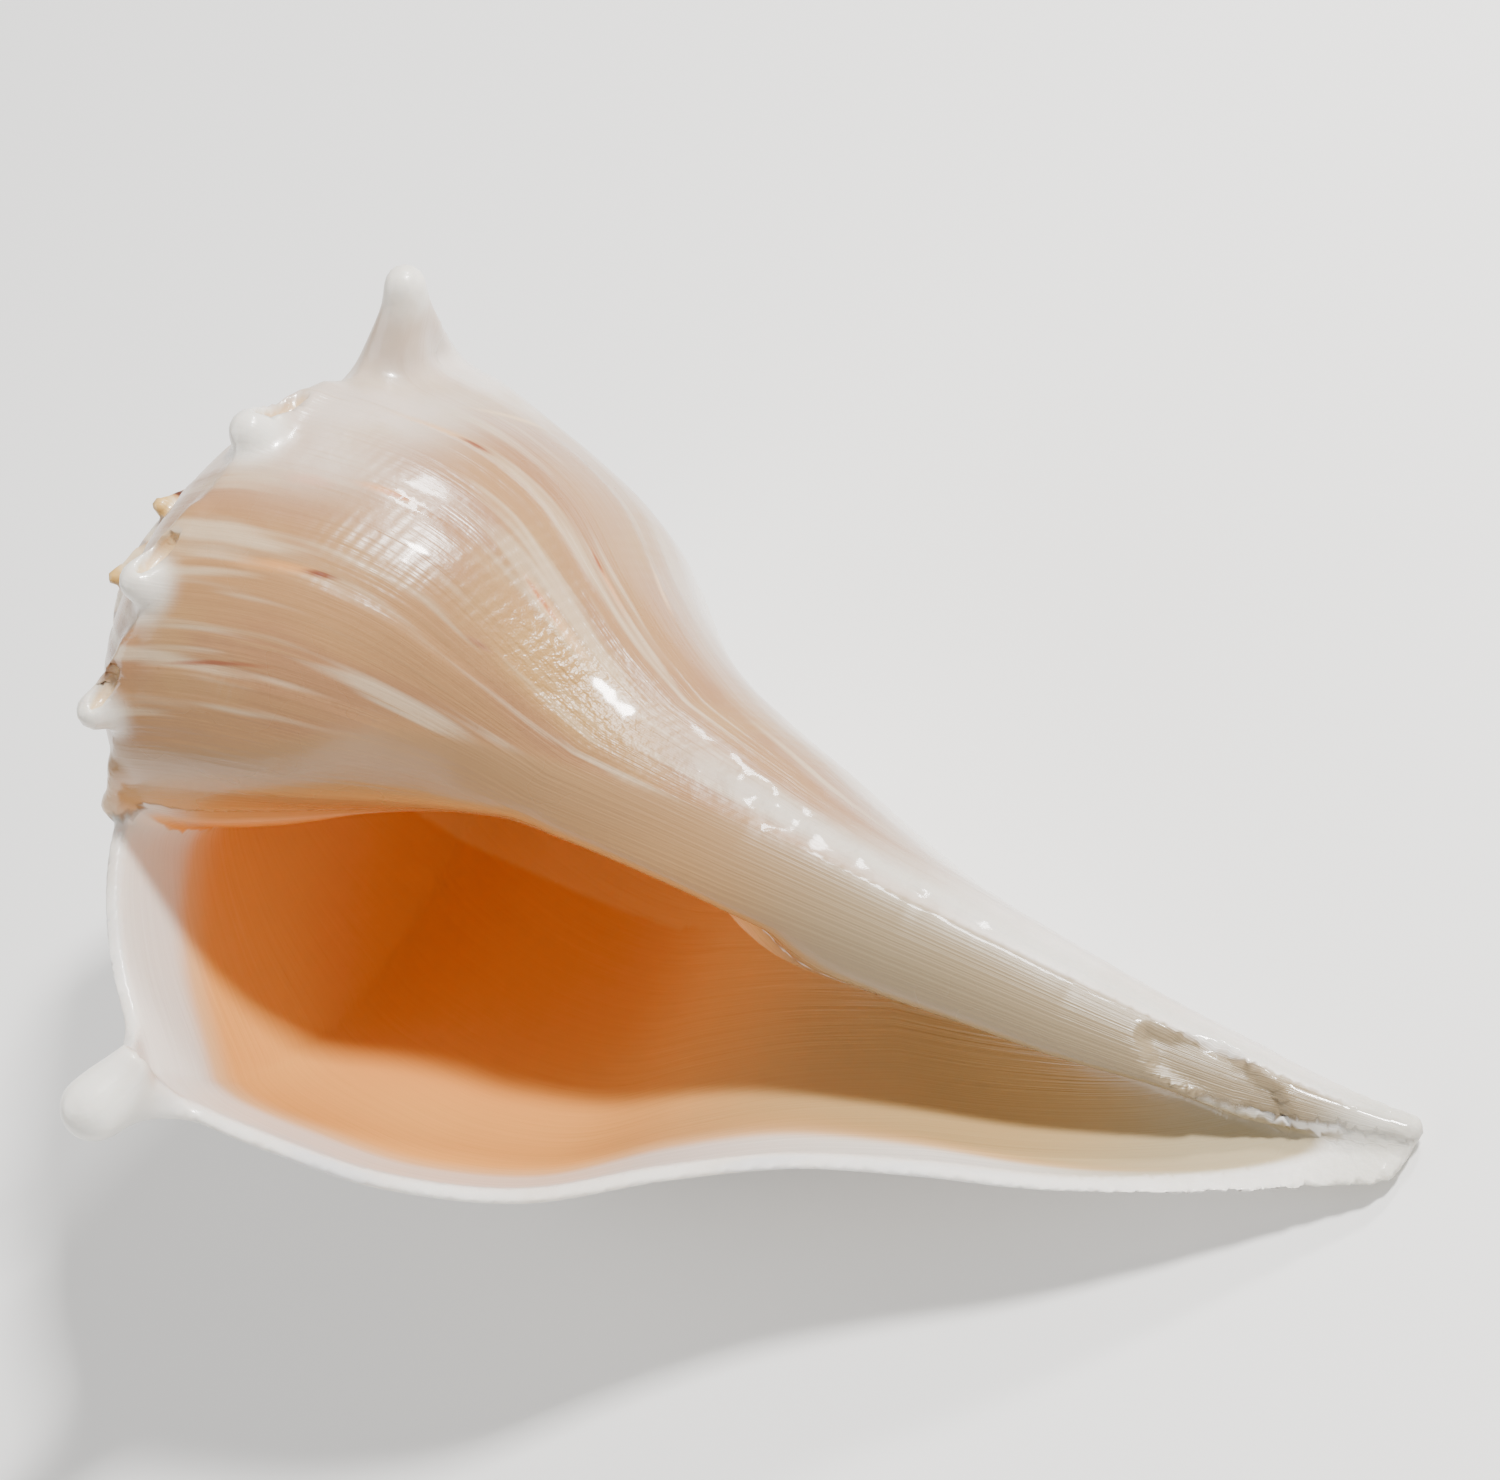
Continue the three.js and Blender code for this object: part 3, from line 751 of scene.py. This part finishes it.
# The view: spin about the coil's axis, then a tilt, then a roll, from in front of mid-length.
VIEW_SPIN, VIEW_TILT, VIEW_ROLL = np.radians([19.47, -22.17, 65.42])
VIEW_DISTANCE, VIEW_CENTRE = 440.62, np.array([0, 0, -90])  # millimetres, in the coiling frame
AIM_ASIDE = (.005405, -.026287)  # the view's middle is beside that centre: right and down, as slopes
SENSOR, LENS = 36, 93.43  # millimetres


def turn_about(axis, angle):
    """The rotation about one of the three axes."""
    c, s = np.cos(angle), np.sin(angle)
    i, j = [(1, 2), (2, 0), (0, 1)][axis]
    m = np.eye(3)
    m[i, i], m[i, j], m[j, i], m[j, j] = c, -s, s, c
    return m


face_on = np.array([[1, 0, 0], [0, 0, 1], [0, -1, 0]])
view = turn_about(2, VIEW_ROLL) @ turn_about(0, VIEW_TILT) @ face_on @ turn_about(2, VIEW_SPIN)
eye = VIEW_CENTRE + view[2] * VIEW_DISTANCE
forward = view.T @ np.array([AIM_ASIDE[0], -AIM_ASIDE[1], -1])
back = -forward / np.linalg.norm(forward)
right = np.cross(view[1], back)
right /= np.linalg.norm(right)
axes = np.array([right, np.cross(back, right), back]) @ TO_REST.T
eye = eye @ TO_REST.T + APEX_AT

camera_data = bpy.data.cameras.new("camera")
camera_data.sensor_width = SENSOR
camera_data.lens = LENS
camera_data.clip_start = .01
camera = bpy.data.objects.new("camera", camera_data)
camera.matrix_world = Matrix.Translation(Vector(eye * MM)) @ Matrix(axes.T.tolist()).to_4x4()
bpy.context.scene.collection.objects.link(camera)
bpy.context.scene.camera = camera

SHELL_MIDDLE = Vector((0, 0, .04))


def area_light(name, position, width, power, tint):
    """A square softbox that faces the shell: its place and width in metres, its power in watts."""
    data = bpy.data.lights.new(name, "AREA")
    data.size, data.energy, data.color = width, power, tint
    lamp = bpy.data.objects.new(name, data)
    lamp.location = position
    lamp.rotation_euler = (SHELL_MIDDLE - Vector(position)).to_track_quat("-Z", "Y").to_euler()
    bpy.context.scene.collection.objects.link(lamp)


area_light("key", (.38, .42, .68), .1, 14, (1, .98, .95))
area_light("rim", (.1, .62, .52), .1, 4, (1, .99, .97))
area_light("fill", (-.7, -.5, .6), .8, 5, (1, .99, .97))
